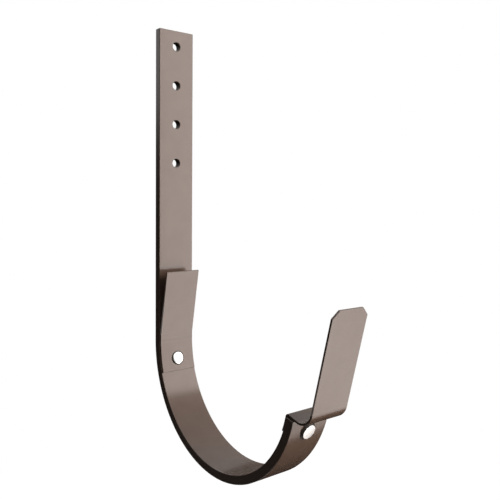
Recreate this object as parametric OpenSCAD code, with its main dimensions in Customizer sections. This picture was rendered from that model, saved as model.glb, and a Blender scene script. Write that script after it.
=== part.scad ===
// Gutter bracket: a flat-bar hook that carries a half-round gutter by its screwed upper leg.
// Two sheet-metal clips, each held by one rivet, are bent over the gutter's edges by hand.
// Millimetres. +Z is up, X runs along the gutter and the hook opens towards -Y.
// The origin is the centre of the screw-hole row, on the strap's back face.

/* [Strap] */
// Width of the flat bar
strap_w = 25; // [20:1:40]
// Thickness of the flat bar
strap_t = 5; // [3:0.5:8]
// Inner radius of the hook, half the width of the gutter
gutter_r = 62.5; // [50:0.5:100]
// Height of the straight leg above the middle of the gutter
leg_h = 200; // [140:5:320]
// How far below level the rolled part of the hook ends at the front, in degrees
end_drop = 14.5; // [5:0.5:30]
// Chamfer on the bar's sheared edges
edge_break = 0.4; // [0.2:0.1:0.8]

/* [Screw holes] */
// Diameter of each screw hole
hole_d = 5.5; // [3:0.5:8]
// Number of screw holes in the row
hole_count = 4; // [2:1:5]
// Distance between neighbouring holes
hole_pitch = 25; // [15:1:30]
// Distance from the top of the leg to the first hole
hole_top = 10; // [8:1:20]

/* [Clips] */
// Thickness of the clips' sheet
clip_t = 1.2; // [0.8:0.1:2]
// Width of both clips
clip_w = 24; // [16:1:30]

/* [Rear clip] */
// Length of the rear clip's free blade
blade_len = 42; // [25:1:70]
// Lean of the blade away from the strap, in degrees
blade_lean = 10.4; // [5:0.2:25]
// Inside radius of the bend at the foot of the blade
blade_bend_r = 5; // [2:0.5:10]
// Flat seat on the leg, from the middle of the gutter up to the bend
blade_seat = 3; // [1:0.5:10]
// How far the foot follows the hook below the middle of the gutter, in degrees
foot_arc = 18.9; // [16:0.1:30]

/* [Front clip] */
// Flat of the ledge on the hook's end, between the fold and the bend of the tab
ledge_len = 6.4; // [5:0.1:12]
// Inside radius of the bend from the ledge to the tab
tab_bend_r = 7.8; // [2:0.2:10]
// Height of the flat tab above its bend
tab_len = 53.3; // [25:0.1:80]
// Inside radius of the fold over the hook's end, also the chamfer on that end
fold_r = 0.5; // [0.3:0.1:1]
// How far the tongue runs down inside the hook, in degrees
tongue_arc = 11.5; // [10.5:0.1:18]
// Cut-off corners of the tab and the tongue
corner_cut = 4; // [1:0.5:6]

/* [Rivets] */
// Diameter of the rivet shank
shank_d = 5; // [3:0.5:6]
// How much wider than the shank the rivet holes are
shank_fit = 0.1; // [0.05:0.05:0.3]
// Diameter of the pan head where it seats
head_d = 10; // [8.5:0.2:13]
// Diameter of the flat top of the pan head
head_top_d = 8.6; // [6:0.2:8.6]
// Height of the pan head
head_h = 1.3; // [0.8:0.1:2]
// Diameter of the front rivet's formed head, inside the hook
set_d = 8; // [6.5:0.5:10]
// Height of the front rivet's formed head
set_h = 0.8; // [0.5:0.1:1.5]
// Diameter of the countersink for the rear rivet in the strap's back
sink_d = 8.5; // [6.5:0.5:9]
// Rear rivet below the middle of the gutter, in degrees round the hook
rear_rivet_drop = 11.5; // [9:0.1:13]
// Front rivet back from the end of the rolled part, in degrees round the hook
front_rivet_back = 6.8; // [5.5:0.1:8]

/* [Hidden] */

coat = "#A08F85";
zinc = "#D8DADC";

$fn = 96;
eps = 0.01;
// How far a cutter runs past the faces that it cuts
cut_past = 2;

outer_r = gutter_r + strap_t;
leg_top = hole_top + (hole_count - 1) * hole_pitch / 2;
mid_y = -strap_t - gutter_r;
mid_z = leg_top - leg_h;
hook_arc = 180 - end_drop;
bore_d = shank_d + shank_fit;
sink_depth = (sink_d - bore_d) / 2;
set_seat_r = gutter_r - clip_t;
// Turn of the hook that the square cut at its end takes off again, in degrees
end_spare = 2;
// Distance from the hook's centre to the tab's outer face, and how far the tab's top is past the end
tab_r = gutter_r + fold_r + ledge_len + tab_bend_r + clip_t;
tab_top = fold_r + clip_t + tab_bend_r + tab_len;

// Moves children to the middle of the gutter, where the hook has its centre.
module at_middle() {
    translate([0, mid_y, mid_z]) children();
}

// Turns children so that +Z runs along the hook's end and -Y points out of it.
module at_end() {
    at_middle() rotate([end_drop, 0, 0]) children();
}

// Places children on the hook's circle with +Z pointing away from its centre.
// The angle is measured down from the leg, round the bottom of the hook.
module on_hook(angle) {
    at_middle() rotate([-angle, 0, 0]) rotate([-90, 0, 0]) children();
}

// Sweeps a section round the X axis. The section's x is the radius and its y the width.
// The sweep starts at +Y and rises towards +Z.
module sweep(angle) {
    rotate([90, 0, 90]) rotate_extrude(angle = angle, $fn = 180) children();
}

// The same sweep, started at +Y and dropping towards -Z.
module sweep_down(angle) {
    mirror([0, 0, 1]) sweep(angle) children();
}

// A round bar along X, as long as the given width.
module roller(radius, width) {
    rotate([0, 90, 0]) cylinder(r = radius, h = width, center = true, $fn = 180);
}

// Section of the flat bar with its broken edges, for a given inner radius.
module bar_section(inner) {
    half_w = strap_w / 2;
    outer = inner + strap_t;
    polygon([
        [inner, -half_w + edge_break], [inner + edge_break, -half_w],
        [outer - edge_break, -half_w], [outer, -half_w + edge_break],
        [outer, half_w - edge_break], [outer - edge_break, half_w],
        [inner + edge_break, half_w], [inner, half_w - edge_break]
    ]);
}

// Section of the clips' sheet for a given inner radius.
module sheet_section(inner) {
    translate([inner, -clip_w / 2]) square([clip_t, clip_w]);
}

// Flat length of sheet running up from here, with its front face at y = -clip_t.
module flat_run(len) {
    translate([-clip_w / 2, -clip_t, 0]) cube([clip_w, clip_t, len]);
    translate([0, 0, len]) children();
}

// Bends the sheet forwards, towards -Y, and carries on with its children.
module bend_forward(inside_r, angle) {
    translate([0, -clip_t - inside_r, 0]) {
        sweep(angle) sheet_section(inside_r);
        rotate([angle, 0, 0]) translate([0, clip_t + inside_r, 0]) children();
    }
}

// Bends the sheet backwards, towards +Y, and carries on with its children.
module bend_back(inside_r, angle) {
    translate([0, inside_r, 0]) {
        mirror([0, 1, 0]) sweep(angle) sheet_section(inside_r);
        rotate([-angle, 0, 0]) translate([0, -inside_r, 0]) children();
    }
}

// Two wedges that cut the corners off a sheet whose end lies at z = 0.
module corner_cuts() {
    for (side = [-1, 1])
        translate([side * clip_w / 2, 0, 0])
            rotate([90, 0, 0])
                linear_extrude(4 * clip_t, center = true)
                    polygon([[-side * corner_cut, 0], [side * eps, -corner_cut - eps],
                             [side * corner_cut, corner_cut], [-side * corner_cut, corner_cut]]);
}

// Pan head seated at z = 0, with a slight draft from its seat to its flat top.
module pan_head() {
    sunk = head_d * head_d / 8 / set_seat_r + eps;
    translate([0, 0, -sunk]) cylinder(d = head_d, h = sunk);
    cylinder(d1 = head_d, d2 = head_top_d, h = head_h);
}

// The straight leg of the flat bar, from the middle of the gutter up, drilled for screws.
module leg() {
    color(coat)
        difference() {
            translate([0, mid_y, mid_z]) linear_extrude(leg_h) rotate(90) bar_section(gutter_r);
            screw_holes();
        }
}

// The rolled part of the same bar, drilled for the two rivets. It meets the leg face to face.
module hook() {
    color(coat)
        difference() {
            at_middle() sweep_down(hook_arc + end_spare) bar_section(gutter_r);
            at_end() end_trim();
            on_hook(rear_rivet_drop) rivet_bore();
            on_hook(rear_rivet_drop) translate([0, 0, outer_r - sink_depth])
                cylinder(d1 = bore_d, d2 = bore_d + 2 * strap_t, h = strap_t);
            on_hook(hook_arc - front_rivet_back) rivet_bore();
        }
}

// What is trimmed off the hook's end: it is cut square and its two long edges are chamfered.
module end_trim() {
    rotate([90, 0, 90]) linear_extrude(strap_w + cut_past, center = true)
        polygon([[-outer_r - fold_r, -fold_r], [-outer_r, 0], [-outer_r + fold_r, fold_r],
                 [-gutter_r - fold_r, fold_r], [-gutter_r, 0], [-gutter_r + fold_r, -fold_r],
                 [-gutter_r + fold_r, strap_t], [-outer_r - fold_r, strap_t]]);
}

// The row of screw holes through the leg, centred on the origin.
module screw_holes() {
    for (i = [0 : hole_count - 1])
        translate([0, cut_past, leg_top - hole_top - i * hole_pitch])
            rotate([90, 0, 0]) cylinder(d = hole_d, h = strap_t + 2 * cut_past);
}

// Radial hole for a rivet shank, through the clip and the strap.
module rivet_bore() {
    translate([0, 0, set_seat_r - cut_past])
        cylinder(d = bore_d, h = clip_t + strap_t + 2 * cut_past);
}

// Sheet clip at the back of the gutter: a curved foot on the hook and a leaning blade.
module rear_clip() {
    color(coat)
        difference() {
            at_middle() {
                sweep_down(foot_arc) sheet_section(set_seat_r);
                translate([0, gutter_r, 0])
                    flat_run(blade_seat)
                        bend_forward(blade_bend_r, blade_lean)
                            flat_run(blade_len);
            }
            on_hook(rear_rivet_drop) rivet_bore();
        }
}

// Sheet clip on the hook's end: a tongue inside, a fold, a ledge and the tall tab.
module front_clip() {
    color(coat)
        difference() {
            union() {
                at_end() mirror([0, 1, 0]) sweep_down(tongue_arc) sheet_section(set_seat_r);
                at_end() translate([0, -set_seat_r, 0])
                    bend_forward(fold_r, 90)
                        flat_run(ledge_len)
                            bend_back(tab_bend_r, 90)
                                flat_run(tab_len);
            }
            at_end() rotate([tongue_arc, 0, 0]) translate([0, -gutter_r, 0])
                mirror([0, 0, 1]) corner_cuts();
            at_end() translate([0, -tab_r, tab_top]) corner_cuts();
            on_hook(hook_arc - front_rivet_back) rivet_bore();
        }
}

// Rivet of the rear clip: pan head inside the hook, shank set flush in the strap's back.
module rear_rivet() {
    color(zinc)
        on_hook(rear_rivet_drop) {
            intersection() {
                union() {
                    translate([0, 0, set_seat_r - eps])
                        cylinder(d = shank_d, h = clip_t + strap_t + cut_past);
                    translate([0, 0, outer_r - sink_depth])
                        cylinder(d1 = shank_d, d2 = shank_d + 2 * strap_t, h = strap_t);
                }
                roller(outer_r, strap_w);
            }
            intersection() {
                translate([0, 0, set_seat_r]) mirror([0, 0, 1]) pan_head();
                roller(set_seat_r, strap_w);
            }
        }
}

// Rivet of the front clip: pan head outside the hook, formed head on the tongue.
module front_rivet() {
    color(zinc)
        on_hook(hook_arc - front_rivet_back) {
            translate([0, 0, set_seat_r - set_h])
                cylinder(d = shank_d, h = clip_t + strap_t + set_h + eps);
            difference() {
                translate([0, 0, outer_r]) pan_head();
                roller(outer_r, strap_w);
            }
            intersection() {
                translate([0, 0, set_seat_r - set_h]) cylinder(d = set_d, h = 2 * set_h);
                roller(set_seat_r, strap_w);
            }
        }
}

leg();
hook();
rear_clip();
front_clip();
rear_rivet();
front_rivet();
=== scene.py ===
import math

import bmesh
import bpy
from mathutils import Matrix, Vector


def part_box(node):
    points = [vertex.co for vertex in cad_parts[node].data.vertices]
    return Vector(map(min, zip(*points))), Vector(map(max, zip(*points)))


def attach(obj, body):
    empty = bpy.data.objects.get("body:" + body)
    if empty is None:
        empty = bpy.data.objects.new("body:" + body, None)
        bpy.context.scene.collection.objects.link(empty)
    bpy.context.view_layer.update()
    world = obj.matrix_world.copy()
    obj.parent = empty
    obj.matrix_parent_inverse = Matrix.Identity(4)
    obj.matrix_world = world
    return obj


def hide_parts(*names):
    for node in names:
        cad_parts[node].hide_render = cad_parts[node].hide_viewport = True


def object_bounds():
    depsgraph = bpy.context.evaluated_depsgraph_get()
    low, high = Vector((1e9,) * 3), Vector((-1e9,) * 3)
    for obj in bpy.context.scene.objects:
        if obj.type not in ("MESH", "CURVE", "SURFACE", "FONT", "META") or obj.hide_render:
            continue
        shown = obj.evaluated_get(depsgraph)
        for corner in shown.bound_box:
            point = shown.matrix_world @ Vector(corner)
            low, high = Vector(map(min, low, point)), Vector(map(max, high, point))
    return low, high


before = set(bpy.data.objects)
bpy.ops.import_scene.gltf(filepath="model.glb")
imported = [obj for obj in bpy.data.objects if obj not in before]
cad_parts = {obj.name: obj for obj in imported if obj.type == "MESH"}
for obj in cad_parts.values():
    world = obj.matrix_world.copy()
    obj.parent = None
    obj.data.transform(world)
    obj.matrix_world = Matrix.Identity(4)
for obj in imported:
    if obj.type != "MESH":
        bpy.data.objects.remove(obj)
CAD_BOX = [list(corner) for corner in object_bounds()]

# ---------------------------------------------------------------------------------------------
# The flat bar: hot-rolled mild steel, 25 x 5 mm, with a straight leg that is screwed to the
# rafter and a hook that is rolled round a former to the gutter's radius. The bar is sheared to
# length and punched, then rolled, then stove enamelled, which rounds its edges a little.
# ---------------------------------------------------------------------------------------------
MM = 0.001
LEG_LOW, LEG_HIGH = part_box("leg")
HOOK_LOW, HOOK_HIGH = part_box("hook")
BAR_W = LEG_HIGH[0] - LEG_LOW[0]
BAR_T = LEG_HIGH[1] - LEG_LOW[1]
OUTER_R = LEG_LOW[2] - HOOK_LOW[2]
INNER_R = OUTER_R - BAR_T
HOOK_Y = LEG_LOW[1] - INNER_R
HOOK_Z = LEG_LOW[2]
END_DROP = math.radians(14.5)
HOLE_R = 2.75 * MM
HOLE_PITCH = 25 * MM
HOLE_TOP = 10 * MM
HOLE_COUNT = 4
HOLE_SIDES = 48
HOOK_STEPS = 110
BAR_EASE = 0.35 * MM
EASE_STEPS = 3
REAL_CORNER = math.radians(28)
SIDE_BAND = 0.3 * MM
WALL_TILT = 0.2
SAME_PLACE = MM / 100
TOUCHING = SAME_PLACE / 100


def linear(code):
    """An sRGB hex colour as the linear RGBA that shaders take."""
    parts = [int(code[i : i + 2], 16) / 255 for i in (1, 3, 5)]
    return (*(p / 12.92 if p <= 0.04045 else ((p + 0.055) / 1.055) ** 2.4 for p in parts), 1)


def finish(name):
    """A new material for one real finish, with its node tree and its output node."""
    made = bpy.data.materials.new(name)
    made.use_nodes = True
    made.node_tree.nodes.clear()
    return made, made.node_tree, made.node_tree.nodes.new("ShaderNodeOutputMaterial")


def node(tree, kind, inputs, **settings):
    """Adds one shader node, sets its properties and fills or links its inputs."""
    made = tree.nodes.new(kind)
    for name, value in settings.items():
        setattr(made, name, value)
    for socket, value in inputs.items():
        if isinstance(value, bpy.types.NodeSocket):
            tree.links.new(value, made.inputs[socket])
        else:
            made.inputs[socket].default_value = value
    return made


def eased(shape, width):
    """Rounds every real corner of a piece, as its coat of enamel does."""
    bmesh.ops.recalc_face_normals(shape, faces=shape.faces)
    corners = [e for e in shape.edges if e.is_manifold and e.calc_face_angle() > REAL_CORNER]
    bmesh.ops.bevel(
        shape,
        geom=corners,
        offset=width,
        segments=EASE_STEPS,
        profile=0.5,
        affect="EDGES",
        material=-1,
        clamp_overlap=True,
    )


def stand_in(shape, name, finishes, slot, *nodes):
    """Turns a finished bmesh into a smooth-shaded piece that stands for its CAD nodes."""
    mesh = bpy.data.meshes.new(name)
    shape.to_mesh(mesh)
    shape.free()
    for each in finishes:
        mesh.materials.append(each)
    mesh.polygons.foreach_set("use_smooth", [True] * len(mesh.polygons))
    made = bpy.data.objects.new(name, mesh)
    bpy.context.scene.collection.objects.link(made)
    flats = made.modifiers.new("flats_stay_flat", "WEIGHTED_NORMAL")
    flats.weight = 100
    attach(made, "root")
    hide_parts(*nodes)


# Stoved polyester enamel, glossy brown: a smooth coat about 0.1 mm thick. The eye sees a deep
# brown under a soft mirror of the studio, with faint slow waves 9 mm wide where the coat
# levelled, and a gloss that is uneven over 0.6 mm.
WAVE = 9 * MM
GRAIN = 0.6 * MM
enamel, tree, out = finish("stoved_enamel_brown")
place = node(tree, "ShaderNodeTexCoord", {}).outputs["Object"]
wave = node(
    tree,
    "ShaderNodeTexNoise",
    {"Vector": place, "Scale": 1 / WAVE, "Detail": 1.0, "Roughness": 0.4},
)
grain = node(
    tree,
    "ShaderNodeTexNoise",
    {"Vector": place, "Scale": 1 / GRAIN, "Detail": 2.0, "Roughness": 0.5},
)
brown = node(tree, "ShaderNodeValToRGB", {"Fac": wave.outputs["Fac"]})
for stop, where, code in zip(brown.color_ramp.elements, (0.3, 0.7), ("#69564A", "#6D5A4E")):
    stop.position = where
    stop.color = linear(code)
gloss = node(
    tree,
    "ShaderNodeMapRange",
    {"Value": grain.outputs["Fac"], "To Min": 0.17, "To Max": 0.23},
)
levelled = node(
    tree,
    "ShaderNodeBump",
    {"Height": wave.outputs["Fac"], "Strength": 0.05, "Distance": 0.01 * MM},
)
coat = node(
    tree,
    "ShaderNodeBsdfPrincipled",
    {
        "Base Color": brown.outputs["Color"],
        "Roughness": gloss.outputs["Result"],
        "IOR": 1.5,
        "Normal": levelled.outputs["Normal"],
    },
)
tree.links.new(coat.outputs["BSDF"], out.inputs["Surface"])

# The same brown enamel with painted shade, for the long sides of the bar and the edges of the
# clips:
# a darker, less even brown that stands in for the shade these sides fall in.
shade_painted_sides, tree, out = finish("enamel_with_painted_shade_on_sides")
place = node(tree, "ShaderNodeTexCoord", {}).outputs["Object"]
shade_mottle = node(
    tree,
    "ShaderNodeTexNoise",
    {"Vector": place, "Scale": 1 / GRAIN, "Detail": 2.0, "Roughness": 0.6},
)
dark = node(tree, "ShaderNodeValToRGB", {"Fac": shade_mottle.outputs["Fac"]})
for stop, where, code in zip(dark.color_ramp.elements, (0.3, 0.7), ("#54443A", "#5C4B41")):
    stop.position = where
    stop.color = linear(code)
coat = node(
    tree,
    "ShaderNodeBsdfPrincipled",
    {"Base Color": dark.outputs["Color"], "Roughness": 0.3},
)
tree.links.new(coat.outputs["BSDF"], out.inputs["Surface"])

# Painted shade on the walls of the punched holes: a dull, nearly black colour that stands in for
# the shade inside them.
hole_wall_painted_shade, tree, out = finish("painted_shade_in_punched_hole")
place = node(tree, "ShaderNodeTexCoord", {}).outputs["Object"]
shade_mottle = node(
    tree,
    "ShaderNodeTexNoise",
    {"Vector": place, "Scale": 1 / GRAIN, "Detail": 2.0, "Roughness": 0.6},
)
hole_shade_colour = node(tree, "ShaderNodeValToRGB", {"Fac": shade_mottle.outputs["Fac"]})
for stop, where, code in zip(hole_shade_colour.color_ramp.elements, (0.3, 0.7), ("#352F2A", "#423B35")):
    stop.position = where
    stop.color = linear(code)
coat = node(
    tree,
    "ShaderNodeBsdfPrincipled",
    {"Base Color": hole_shade_colour.outputs["Color"], "Roughness": 0.6, "Specular IOR Level": 0.25},
)
tree.links.new(coat.outputs["BSDF"], out.inputs["Surface"])

# The front face of the leg: one tile round each hole, then a plain run down to the hook.
SIDE_CUTS = HOLE_SIDES // 4 - 1
FACING = Matrix.Rotation(math.pi / 2, 4, "X")
bar = bmesh.new()
tile_low = LEG_HIGH[2]
for number in range(HOLE_COUNT):
    hole_z = LEG_HIGH[2] - HOLE_TOP - number * HOLE_PITCH
    tile_high, tile_low = tile_low, hole_z - HOLE_PITCH / 2
    tile_place = Matrix.Translation((0, LEG_LOW[1], (tile_high + tile_low) / 2))
    tile = bmesh.ops.create_grid(bar, x_segments=1, y_segments=1, size=0.5)["verts"]
    bmesh.ops.scale(bar, vec=(BAR_W, tile_high - tile_low, 1), verts=tile)
    bmesh.ops.transform(bar, matrix=tile_place @ FACING, verts=tile)
    solid_tile = tile[0].link_faces[0]
    rim = list(solid_tile.edges)
    bmesh.ops.delete(bar, geom=[solid_tile], context="FACES_ONLY")
    split = bmesh.ops.subdivide_edges(bar, edges=rim, cuts=SIDE_CUTS)["geom_inner"]
    rim = list({e for v in split if isinstance(v, bmesh.types.BMVert) for e in v.link_edges})
    punched = bmesh.ops.create_circle(
        bar,
        radius=HOLE_R,
        segments=HOLE_SIDES,
        cap_ends=False,
        matrix=Matrix.Translation((0, LEG_LOW[1], hole_z)) @ FACING,
    )["verts"]
    ring = list({e for v in punched for e in v.link_edges})
    bmesh.ops.bridge_loops(bar, edges=rim + ring)
bmesh.ops.remove_doubles(bar, verts=bar.verts, dist=SAME_PLACE)
low_edges = [e for e in bar.edges if all(abs(v.co.z - tile_low) < SAME_PLACE for v in e.verts)]
drawn = bmesh.ops.extrude_edge_only(bar, edges=low_edges)["geom"]
low_verts = [v for v in drawn if isinstance(v, bmesh.types.BMVert)]
bmesh.ops.translate(bar, vec=(0, 0, LEG_LOW[2] - tile_low), verts=low_verts)

# The face gets the bar's thickness, and its lower end is rolled round to make the hook.
drawn = bmesh.ops.extrude_face_region(bar, geom=bar.faces[:])["geom"]
back_verts = [v for v in drawn if isinstance(v, bmesh.types.BMVert)]
bmesh.ops.translate(bar, vec=(0, BAR_T, 0), verts=back_verts)
bmesh.ops.recalc_face_normals(bar, faces=bar.faces)
end_faces = [f for f in bar.faces if all(abs(v.co.z - LEG_LOW[2]) < SAME_PLACE for v in f.verts)]
end_parts = {part for f in end_faces for part in (f, *f.edges, *f.verts)}
bmesh.ops.spin(
    bar,
    geom=list(end_parts),
    cent=(0, HOOK_Y, HOOK_Z),
    axis=(1, 0, 0),
    angle=-(math.pi - END_DROP),
    steps=HOOK_STEPS,
    use_merge=False,
)
eased(bar, BAR_EASE)

# The bar's two long sides get the darker brown of painted shade, and the walls of the holes the
# nearly black painted shade.
for face in bar.faces:
    middle = face.calc_center_median()
    on_side = abs(middle.x) > BAR_W / 2 - SIDE_BAND
    in_hole = middle.z > HOOK_Z and abs(middle.x) < HOLE_R and abs(face.normal.y) < WALL_TILT
    face.material_index = 2 if in_hole else int(on_side)
stand_in(bar, "flat_bar", [enamel, shade_painted_sides, hole_wall_painted_shade], "strap_coat", "leg", "hook")

# ---------------------------------------------------------------------------------------------
# The rear clip: one strip of 1.2 mm steel sheet, enamelled with the bar's brown. Its foot is
# curved to the hook and riveted there, and its blade leans away from the leg, so that the
# gutter's rear edge drops between them. The installer then hammers the blade over that edge.
# ---------------------------------------------------------------------------------------------
SHEET_T = 1.2 * MM
SHEET_EASE = 0.22 * MM
REAR_LOW, REAR_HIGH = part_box("rear_clip")
CLIP_W = REAR_HIGH[0] - REAR_LOW[0]
FOOT_ARC = math.radians(18.9)
BLADE_SEAT = 3 * MM
BLADE_BEND_R = 5 * MM
BLADE_LEAN = math.radians(10.4)
BLADE_LEN = 42 * MM
FOOT_STEPS = 12
LEAN_STEPS = 6
BLADE_EDGE_FACING = 0.9


def along_hook(angle):
    """A turn round the hook's centre."""
    centre = Matrix.Translation((0, HOOK_Y, HOOK_Z))
    return centre @ Matrix.Rotation(angle, 4, "X") @ centre.inverted()


def cut_end(y_low, y_high, angle):
    """Starts a sheet: its cut end at the hook's centre height, swung along the hook by an angle."""
    shape = bmesh.new()
    bmesh.ops.create_grid(shape, x_segments=1, y_segments=1, size=0.5)
    bmesh.ops.scale(shape, vec=(CLIP_W, y_high - y_low, 1), verts=shape.verts)
    bmesh.ops.translate(shape, vec=(0, (y_low + y_high) / 2, HOOK_Z), verts=shape.verts)
    bmesh.ops.transform(shape, matrix=along_hook(angle), verts=shape.verts)
    return shape, next(iter(shape.faces))


def straight(shape, end, move):
    """Runs a sheet on in a straight line and returns its new end face."""
    grown = bmesh.ops.extrude_face_region(shape, geom=[end])["geom"]
    end_verts = [v for v in grown if isinstance(v, bmesh.types.BMVert)]
    bmesh.ops.translate(shape, vec=move, verts=end_verts)
    return [f for f in grown if isinstance(f, bmesh.types.BMFace)][0]


def bent(shape, end, centre_y, centre_z, angle, steps):
    """Bends a sheet on round a centre in the Y-Z plane and returns its new end face."""
    grown = bmesh.ops.spin(
        shape,
        geom=[end, *end.edges, *end.verts],
        cent=(0, centre_y, centre_z),
        axis=(1, 0, 0),
        angle=angle,
        steps=steps,
        use_merge=False,
    )["geom_last"]
    return [f for f in grown if isinstance(f, bmesh.types.BMFace)][0]


face_y = LEG_LOW[1]
clip, end = cut_end(face_y - SHEET_T, face_y, -FOOT_ARC)
end = bent(clip, end, HOOK_Y, HOOK_Z, FOOT_ARC, FOOT_STEPS)
end = straight(clip, end, (0, 0, BLADE_SEAT))
bend_y = face_y - SHEET_T - BLADE_BEND_R
end = bent(clip, end, bend_y, HOOK_Z + BLADE_SEAT, BLADE_LEAN, LEAN_STEPS)
blade_way = Vector((0, -math.sin(BLADE_LEAN), math.cos(BLADE_LEAN)))
straight(clip, end, blade_way * BLADE_LEN)
eased(clip, SHEET_EASE)
# Painted shade: the clip's sides take the darker brown.
for face in clip.faces:
    face.material_index = int(abs(face.normal.x) > BLADE_EDGE_FACING)
stand_in(clip, "rear_clip_sheet", [enamel, shade_painted_sides], "clip_coat", "rear_clip")

# ---------------------------------------------------------------------------------------------
# The front clip: the same sheet on the hook's front end. A tongue is riveted inside the hook,
# the sheet folds tightly over the bar's end, runs out as a ledge for the gutter's rolled edge
# and turns up through a wide bend into a tall tab with cut-off corners, bent over when fitted.
# ---------------------------------------------------------------------------------------------
TONGUE_ARC = math.radians(11.5)
FOLD_R = 0.5 * MM
LEDGE_LEN = 6.4 * MM
TAB_BEND_R = 7.8 * MM
TAB_LEN = 53.3 * MM
CORNER_CUT = 4 * MM
TONGUE_STEPS = 8
FOLD_STEPS = 10
TAB_BEND_STEPS = 24
TAB_EDGE_FACING = 0.6


def corners_off(shape, end_z, way_out, angle):
    """Shears both corners off a sheet's end at 45 degrees; way_out is 1 for up, -1 for down."""
    for side in (-1, 1):
        cut_x = side * (CLIP_W - CORNER_CUT) / 2
        cut_z = end_z - way_out * CORNER_CUT / 2
        corner = Vector((cut_x, HOOK_Y, cut_z))
        slant = Vector((side, 0, way_out)).normalized()
        cut = bmesh.ops.bisect_plane(
            shape,
            geom=[*shape.verts, *shape.edges, *shape.faces],
            dist=TOUCHING,
            plane_co=along_hook(angle) @ corner,
            plane_no=along_hook(angle).to_3x3() @ slant,
            clear_outer=True,
        )["geom_cut"]
        bmesh.ops.holes_fill(shape, edges=[e for e in cut if isinstance(e, bmesh.types.BMEdge)])


tongue_y = HOOK_Y - INNER_R
ledge_y = tongue_y - FOLD_R
tab_z = HOOK_Z + FOLD_R + SHEET_T + TAB_BEND_R
clip, end = cut_end(tongue_y, tongue_y + SHEET_T, TONGUE_ARC)
end = bent(clip, end, HOOK_Y, HOOK_Z, -TONGUE_ARC, TONGUE_STEPS)
end = bent(clip, end, ledge_y, HOOK_Z, math.pi / 2, FOLD_STEPS)
end = straight(clip, end, (0, -LEDGE_LEN, 0))
end = bent(clip, end, ledge_y - LEDGE_LEN, tab_z, -math.pi / 2, TAB_BEND_STEPS)
straight(clip, end, (0, 0, TAB_LEN))
corners_off(clip, tab_z + TAB_LEN, 1, 0)
corners_off(clip, HOOK_Z, -1, TONGUE_ARC)
bmesh.ops.transform(clip, matrix=along_hook(END_DROP), verts=clip.verts)
eased(clip, SHEET_EASE)
# Painted shade: the clip's sides take the darker brown.
for face in clip.faces:
    face.material_index = int(abs(face.normal.x) > TAB_EDGE_FACING)
stand_in(clip, "front_clip_sheet", [enamel, shade_painted_sides], "clip_coat", "front_clip")

# ---------------------------------------------------------------------------------------------
# The two rivets: cold-headed mild steel, 5 mm shank, bright zinc plated, set after the enamel
# is baked, so they stay bare. The rear one shows a low domed head and is closed flush in the
# bar's back; the front one shows a wide pan head and has a low formed head on the tongue.
# ---------------------------------------------------------------------------------------------
SEAT_R = INNER_R - SHEET_T
SHANK_R = 2.5 * MM
PAN_R = 4.96 * MM
PAN_TOP_R = 4.08 * MM
PAN_H = 1.3 * MM
DOME_R = 4.5 * MM
DOME_TOP_R = 3.85 * MM
DOME_H = 1.0 * MM
CROWN = ((0, 1), (0.3, 0.98), (0.6, 0.92), (0.85, 0.81), (1, 0.7))
RIM_SHARE = 0.1
FORMED_R = 4 * MM
FORMED_H = 0.8 * MM
FLUSH_R = 4.25 * MM
FLUSH_H = 0.06 * MM
BEDDED = 0.2 * MM
NICK = 0.1 * MM
REAR_DROP = math.radians(11.5)
FRONT_BACK = math.radians(6.8)
RIVET_SIDES = 64
HEAD_TOP_FACING = 0.75

# Bright zinc plate, barrel tumbled: an almost white metal with a soft satin reflection, uneven
# over 1.5 mm from knocks in the barrel.
TUMBLE = 1.5 * MM
zinc, tree, out = finish("bright_zinc_plate")
place = node(tree, "ShaderNodeTexCoord", {}).outputs["Object"]
tumble = node(
    tree,
    "ShaderNodeTexNoise",
    {"Vector": place, "Scale": 1 / TUMBLE, "Detail": 3.0, "Roughness": 0.6},
)
white = node(tree, "ShaderNodeValToRGB", {"Fac": tumble.outputs["Fac"]})
for stop, where, code in zip(white.color_ramp.elements, (0.35, 0.65), ("#DEDFDF", "#E6E6E6")):
    stop.position = where
    stop.color = linear(code)
satin = node(
    tree,
    "ShaderNodeMapRange",
    {"Value": tumble.outputs["Fac"], "To Min": 0.17, "To Max": 0.22},
)
plate = node(
    tree,
    "ShaderNodeBsdfPrincipled",
    {"Base Color": white.outputs["Color"], "Roughness": satin.outputs["Result"], "Metallic": 1.0},
)
tree.links.new(plate.outputs["BSDF"], out.inputs["Surface"])

# Painted shade on the side of each head: a dull, nearly black steel colour stands in for the shade
# and the dark surroundings that the side mirrors, uneven over about 0.8 mm.
SIDE_MOTTLE = 0.8 * MM
rivet_side_painted_shade, tree, out = finish("painted_shade_rivet_side")
place = node(tree, "ShaderNodeTexCoord", {}).outputs["Object"]
side_mottle = node(
    tree,
    "ShaderNodeTexNoise",
    {"Vector": place, "Scale": 1 / SIDE_MOTTLE, "Detail": 2.0, "Roughness": 0.6},
)
rivet_side_shade = node(tree, "ShaderNodeValToRGB", {"Fac": side_mottle.outputs["Fac"]})
for stop, where, code in zip(rivet_side_shade.color_ramp.elements, (0.35, 0.65), ("#3A3631", "#4A463F")):
    stop.position = where
    stop.color = linear(code)
steel = node(
    tree,
    "ShaderNodeBsdfPrincipled",
    {"Base Color": rivet_side_shade.outputs["Color"], "Roughness": 0.5},
)
tree.links.new(steel.outputs["BSDF"], out.inputs["Surface"])


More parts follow.
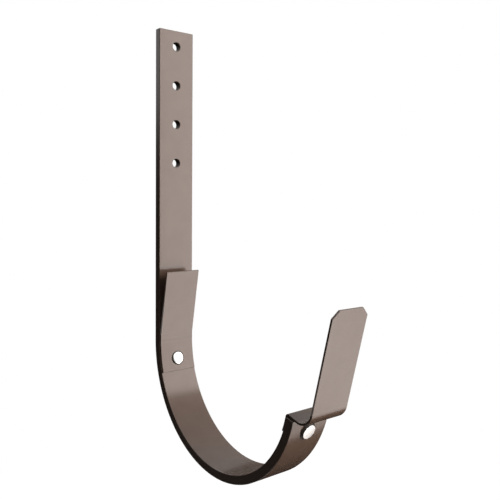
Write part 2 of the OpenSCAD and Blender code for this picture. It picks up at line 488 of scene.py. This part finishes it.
def rivet(name, angle, outline, stands_for):
    """Turns a rivet from half its outline: points of (radius, distance from the hook's centre)."""
    shape = bmesh.new()
    points = [shape.verts.new((radius, 0, away)) for radius, away in outline]
    edges = [shape.edges.new(pair) for pair in zip(points, points[1:])]
    bmesh.ops.spin(
        shape,
        geom=points + edges,
        cent=(0, 0, 0),
        axis=(0, 0, 1),
        angle=2 * math.pi,
        steps=RIVET_SIDES,
        use_merge=True,
    )
    bmesh.ops.remove_doubles(shape, verts=shape.verts, dist=TOUCHING)
    bmesh.ops.recalc_face_normals(shape, faces=shape.faces)
    # The sides of each head get the painted shade, and the faces stay bright zinc.
    for face in shape.faces:
        face.material_index = int(abs(face.normal.z) < HEAD_TOP_FACING)
    from_centre = Matrix.Rotation(-angle - math.pi / 2, 4, "X")
    seat = Matrix.Translation((0, HOOK_Y, HOOK_Z)) @ from_centre
    bmesh.ops.transform(shape, matrix=seat, verts=shape.verts)
    stand_in(shape, name, [zinc, rivet_side_painted_shade], "rivet_metal", stands_for)


# The dome's crown is drawn by shares of its radius and of its height.
crown = [(share * DOME_TOP_R, SEAT_R - rise * DOME_H) for share, rise in CROWN]
rivet(
    "rear_rivet_zinc",
    REAR_DROP,
    [
        *crown,
        (DOME_R - 0.4 * NICK, SEAT_R - RIM_SHARE * DOME_H),
        (DOME_R, SEAT_R),
        (DOME_R, SEAT_R + BEDDED),
        (SHANK_R, SEAT_R + BEDDED),
        (SHANK_R, OUTER_R - FLUSH_R + SHANK_R),
        (FLUSH_R, OUTER_R - NICK),
        (FLUSH_R - NICK, OUTER_R),
        (FLUSH_R - 3 * NICK, OUTER_R + 0.8 * FLUSH_H),
        (0, OUTER_R + FLUSH_H),
    ],
    "rear_rivet",
)
rivet(
    "front_rivet_zinc",
    math.pi - END_DROP - FRONT_BACK,
    [
        (0, OUTER_R + PAN_H),
        (PAN_TOP_R - 2.5 * NICK, OUTER_R + PAN_H),
        (PAN_TOP_R - 0.8 * NICK, OUTER_R + PAN_H - 0.3 * NICK),
        (PAN_TOP_R, OUTER_R + PAN_H - 1.2 * NICK),
        (PAN_R - 0.2 * NICK, OUTER_R + NICK),
        (PAN_R, OUTER_R),
        (PAN_R, OUTER_R - BEDDED),
        (SHANK_R, OUTER_R - BEDDED),
        (SHANK_R, SEAT_R + NICK),
        (FORMED_R, SEAT_R + NICK),
        (FORMED_R, SEAT_R - FORMED_H / 2),
        (FORMED_R - 2 * NICK, SEAT_R - FORMED_H + 1.2 * NICK),
        (FORMED_R - 6 * NICK, SEAT_R - FORMED_H),
        (0, SEAT_R - FORMED_H),
    ],
    "front_rivet",
)

# ---------------------------------------------------------------------------------------------
# The studio: a white paper floor, a tall soft box at the front right, softer ones at the front
# left, the back and the top, and cloths and gauzes out of the camera's sight. Gloss enamel
# mirrors its surroundings, and the cloths make its sides dark and its faces even.
# ---------------------------------------------------------------------------------------------
FLOOR_DROP = 1.3
FLOOR_HALF = 3
MIDDLE = Vector((0, -0.07, -0.1))


def on_show(tree):
    """1 for a ray from the eye, straight or by way of a mirror or glass, and 0 for soft light."""
    rays = node(tree, "ShaderNodeLightPath", {})
    kinds = ("Is Camera Ray", "Is Glossy Ray", "Is Transmission Ray")
    looked_at = rays.outputs[kinds[0]]
    for kind in kinds[1:]:
        looked_at = node(
            tree, "ShaderNodeMath", {0: looked_at, 1: rays.outputs[kind]}, operation="MAXIMUM"
        ).outputs[0]
    return looked_at


def set_up(shape, name, colour):
    """Stands a finished bmesh in the studio as something that isn't part of the bracket."""
    mesh = bpy.data.meshes.new(name)
    shape.to_mesh(mesh)
    shape.free()
    mesh.materials.append(colour)
    made = bpy.data.objects.new(name, mesh)
    bpy.context.scene.collection.objects.link(made)
    return made


# White seamless paper: a soft shadow shows on it, and unshadowed it looks plain white.
GLOW_SHARE = 0.75
GLOW = 1.29
paper, tree, out = finish("white_paper")
glow_share = node(tree, "ShaderNodeMath", {0: on_show(tree), 1: GLOW_SHARE}, operation="MULTIPLY")
plain = node(tree, "ShaderNodeBsdfDiffuse", {"Color": linear("#E8E8E8")})
glow = node(tree, "ShaderNodeEmission", {"Color": (1, 1, 1, 1), "Strength": GLOW})
mixed = node(
    tree,
    "ShaderNodeMixShader",
    {0: glow_share.outputs[0], 1: plain.outputs[0], 2: glow.outputs[0]},
)
tree.links.new(mixed.outputs[0], out.inputs["Surface"])
shape = bmesh.new()
bmesh.ops.create_grid(shape, x_segments=1, y_segments=1, size=FLOOR_HALF)
bmesh.ops.translate(shape, vec=(0, 0, CAD_BOX[0][2] - FLOOR_DROP), verts=shape.verts)
set_up(shape, "floor", paper)

# The room: plain white to the eye and in reflections, and a weak even light on the bracket.
ROOM_LEVEL = 0.28
world = bpy.data.worlds.new("studio")
bpy.context.scene.world = world
world.use_nodes = True
tree = world.node_tree
tree.nodes.clear()
brightness = node(
    tree,
    "ShaderNodeMapRange",
    {"Value": on_show(tree), "To Min": ROOM_LEVEL, "To Max": 1.0},
)
room = node(
    tree,
    "ShaderNodeBackground",
    {"Color": (1, 1, 1, 1), "Strength": brightness.outputs[0]},
)
node(tree, "ShaderNodeOutputWorld", {"Surface": room.outputs[0]})


# Warm white lamps, each in a soft box.
LAMP_TINT = (1.0, 0.925, 0.885)


def soft_box(name, place, aim, width, height, level):
    """A rectangular soft lamp turned to a point; at a level of 1 it looks like white paper."""
    data = bpy.data.lights.new(name, "AREA")
    data.shape = "RECTANGLE"
    data.size = width
    data.size_y = height
    data.energy = level * math.pi * width * height
    data.color = LAMP_TINT
    made = bpy.data.objects.new(name, data)
    made.location = place
    made.rotation_euler = (aim - place).to_track_quat("-Z", "Y").to_euler()
    bpy.context.scene.collection.objects.link(made)


# The key light's parts share one upright plane. Each is (left, right, low, high, level) on it.
KEY_TURN = Matrix.Rotation(math.radians(41.5), 3, "Z")
KEY_WAY = KEY_TURN @ Vector((0, -1, 0))
KEY_ALONG = KEY_TURN @ Vector((1, 0, 0))
KEY_AWAY = 0.85
KEY_PARTS = {
    "key_upper": (-0.22, 0.24, -0.42, 0.48, 4.2),
    "key_lower": (-0.22, 0.10, -0.90, -0.42, 4.2),
    "key_low_right": (0.10, 0.38, -1.28, -0.50, 2.3),
    "front_fill": (-0.80, -0.26, 0.16, 0.66, 4.5),
}
for name, (left, right, low, high, level) in KEY_PARTS.items():
    place = MIDDLE + KEY_WAY * KEY_AWAY + KEY_ALONG * (left + right) / 2
    place.z = (low + high) / 2
    soft_box(name, place, place - KEY_WAY, right - left, high - low, level)
soft_box("back", Vector((0.3, 1.05, 0.05)), MIDDLE, 0.7, 1.3, 3.0)
soft_box("top", Vector((0, 0.35, 0.95)), MIDDLE, 0.5, 0.5, 1.7)


# Matt cloth, and gauze, which is cloth whose weave leaves a share of it open to the light.
CLOTH_STEPS = 48


def hang_cloth(name, code, open_share, edge, start, sweep):
    """Sweeps an edge, two (radius, height) points, round the bracket from a bearing in degrees."""
    cloth, tree, out = finish(name)
    thread = node(tree, "ShaderNodeBsdfDiffuse", {"Color": linear(code)})
    holes = node(tree, "ShaderNodeBsdfTransparent", {"Color": (1, 1, 1, 1)})
    weave = node(
        tree, "ShaderNodeMixShader", {0: open_share, 1: thread.outputs[0], 2: holes.outputs[0]}
    )
    tree.links.new(weave.outputs[0], out.inputs["Surface"])
    shape = bmesh.new()
    way = Matrix.Rotation(math.radians(start), 3, "Z") @ Vector((0, -1, 0))
    ends = [shape.verts.new((*(MIDDLE + way * radius).xy, height)) for radius, height in edge]
    rail = shape.edges.new(ends)
    bmesh.ops.spin(
        shape,
        geom=[*ends, rail],
        cent=MIDDLE,
        axis=(0, 0, 1),
        angle=math.radians(sweep),
        steps=CLOTH_STEPS,
        use_merge=False,
    )
    bmesh.ops.remove_doubles(shape, verts=shape.verts, dist=MM)
    set_up(shape, name, cloth).visible_camera = False


# Lying below the bracket, which its underside mirrors.
hang_cloth("cloth_below_right", "#202020", 0, [(0.08, -0.45), (1.5, -0.45)], 62, 110)
hang_cloth("cloth_below_left", "#6A6A6A", 0, [(0.08, -0.45), (1.5, -0.45)], 172, 183)
hang_cloth("cloth_under_key", "#202020", 0, [(0, -1.45), (1.8, -1.45)], -5, 90)

# Upright on the right and behind: grey low down, and paler and more open towards the top.
hang_cloth("cloth_right", "#A0A0A0", 0, [(0.95, -0.6), (0.95, 0.06)], 72, 100)
hang_cloth("gauze_right", "#FAFAFA", 0.3, [(0.95, 0.06), (0.95, 0.3)], 72, 100)
hang_cloth("gauze_right_open", "#FAFAFA", 0.65, [(0.95, 0.3), (0.95, 0.65)], 72, 100)

# Upright on the left, which the bar's left side mirrors.
hang_cloth("cloth_left", "#3C3C3C", 0, [(0.95, -0.6), (0.95, 0.1)], 172, 120)
hang_cloth("cloth_front_left", "#202020", 0, [(0.94, -0.6), (0.94, 0.42)], 240, 102)

# The camera stands at the bracket's left, a little above its middle, with a 45 mm lens.
CAMERA_PLACE = (-0.2174, -0.35589, -0.06128)
CAMERA_AZ = -38.492
CAMERA_EL = 2.253
CAMERA_ROLL = 0.42
SENSOR_W = 36
LENS = 45.228
LENS_SHIFT = -0.05
view = bpy.data.cameras.new("camera")
view.sensor_width = SENSOR_W
view.lens = LENS
view.shift_y = LENS_SHIFT
camera = bpy.data.objects.new("camera", view)
turn = Matrix.Rotation(math.radians(CAMERA_AZ), 4, "Z")
tip = Matrix.Rotation(math.radians(90 - CAMERA_EL), 4, "X")
roll = Matrix.Rotation(math.radians(CAMERA_ROLL), 4, "Z")
camera.matrix_world = Matrix.Translation(CAMERA_PLACE) @ turn @ tip @ roll
bpy.context.scene.collection.objects.link(camera)
bpy.context.scene.camera = camera
bpy.context.scene.view_settings.view_transform = "Standard"

bpy.context.view_layer.update()
